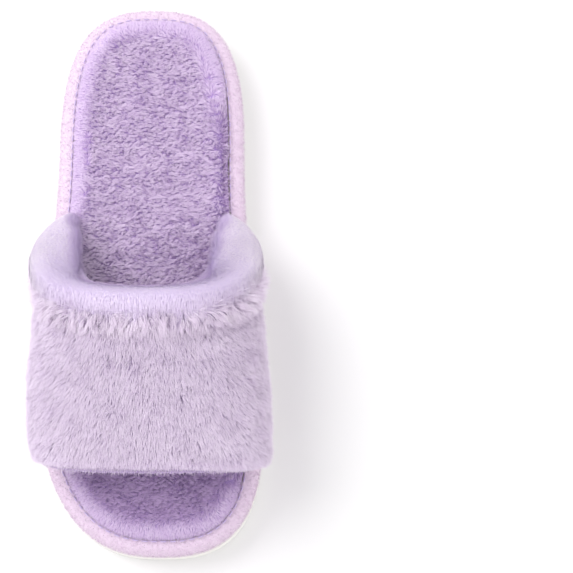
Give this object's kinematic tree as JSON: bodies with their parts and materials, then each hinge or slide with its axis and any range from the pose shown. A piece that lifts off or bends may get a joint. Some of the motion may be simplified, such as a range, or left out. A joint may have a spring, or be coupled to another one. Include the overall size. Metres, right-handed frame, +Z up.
{
  "type": "fluffy house slipper",
  "caption": "Right-foot open-toe house slide with a broad plush furry band, curly plush footbed, fleece-wrapped platform and white moulded sole.",
  "frame": {"origin": "on the floor, under the middle of the sole's length and width", "axes": "+Z up from the tread, +Y along the sole toward the heel, -Y toward the toe, +X toward the big-toe side of this right-foot slipper"},
  "size_m": [0.1127, 0.2678, 0.0867],
  "materials": {
    "moulded_eva": "matte",
    "filler_board": "matte",
    "foam": "matte",
    "pink_fleece": "matte",
    "curly_plush": "matte",
    "sewing_thread": "matte",
    "rabbit_faux_fur": "matte",
    "lining_plush": "matte",
    "collar_faux_fur": "matte"
  },
  "bodies": {
    "root": {"outsole": "moulded_eva", "bottom_filler": "filler_board", "platform_foam": "foam", "platform_wrap": "pink_fleece", "memory_foam_pad": "foam", "footbed_cover": "curly_plush", "footbed_thread_heel": "sewing_thread", "footbed_thread_toe": "sewing_thread", "upper_outer": "rabbit_faux_fur", "upper_foam": "foam", "upper_lining": "lining_plush", "collar_strip": "collar_faux_fur", "collar_padding": "foam", "collar_seam_thread": "sewing_thread", "collar_lining_thread": "sewing_thread", "front_edge_thread": "sewing_thread", "upper_thread_lateral": "sewing_thread", "upper_thread_medial": "sewing_thread"}
  },
  "joints": []
}
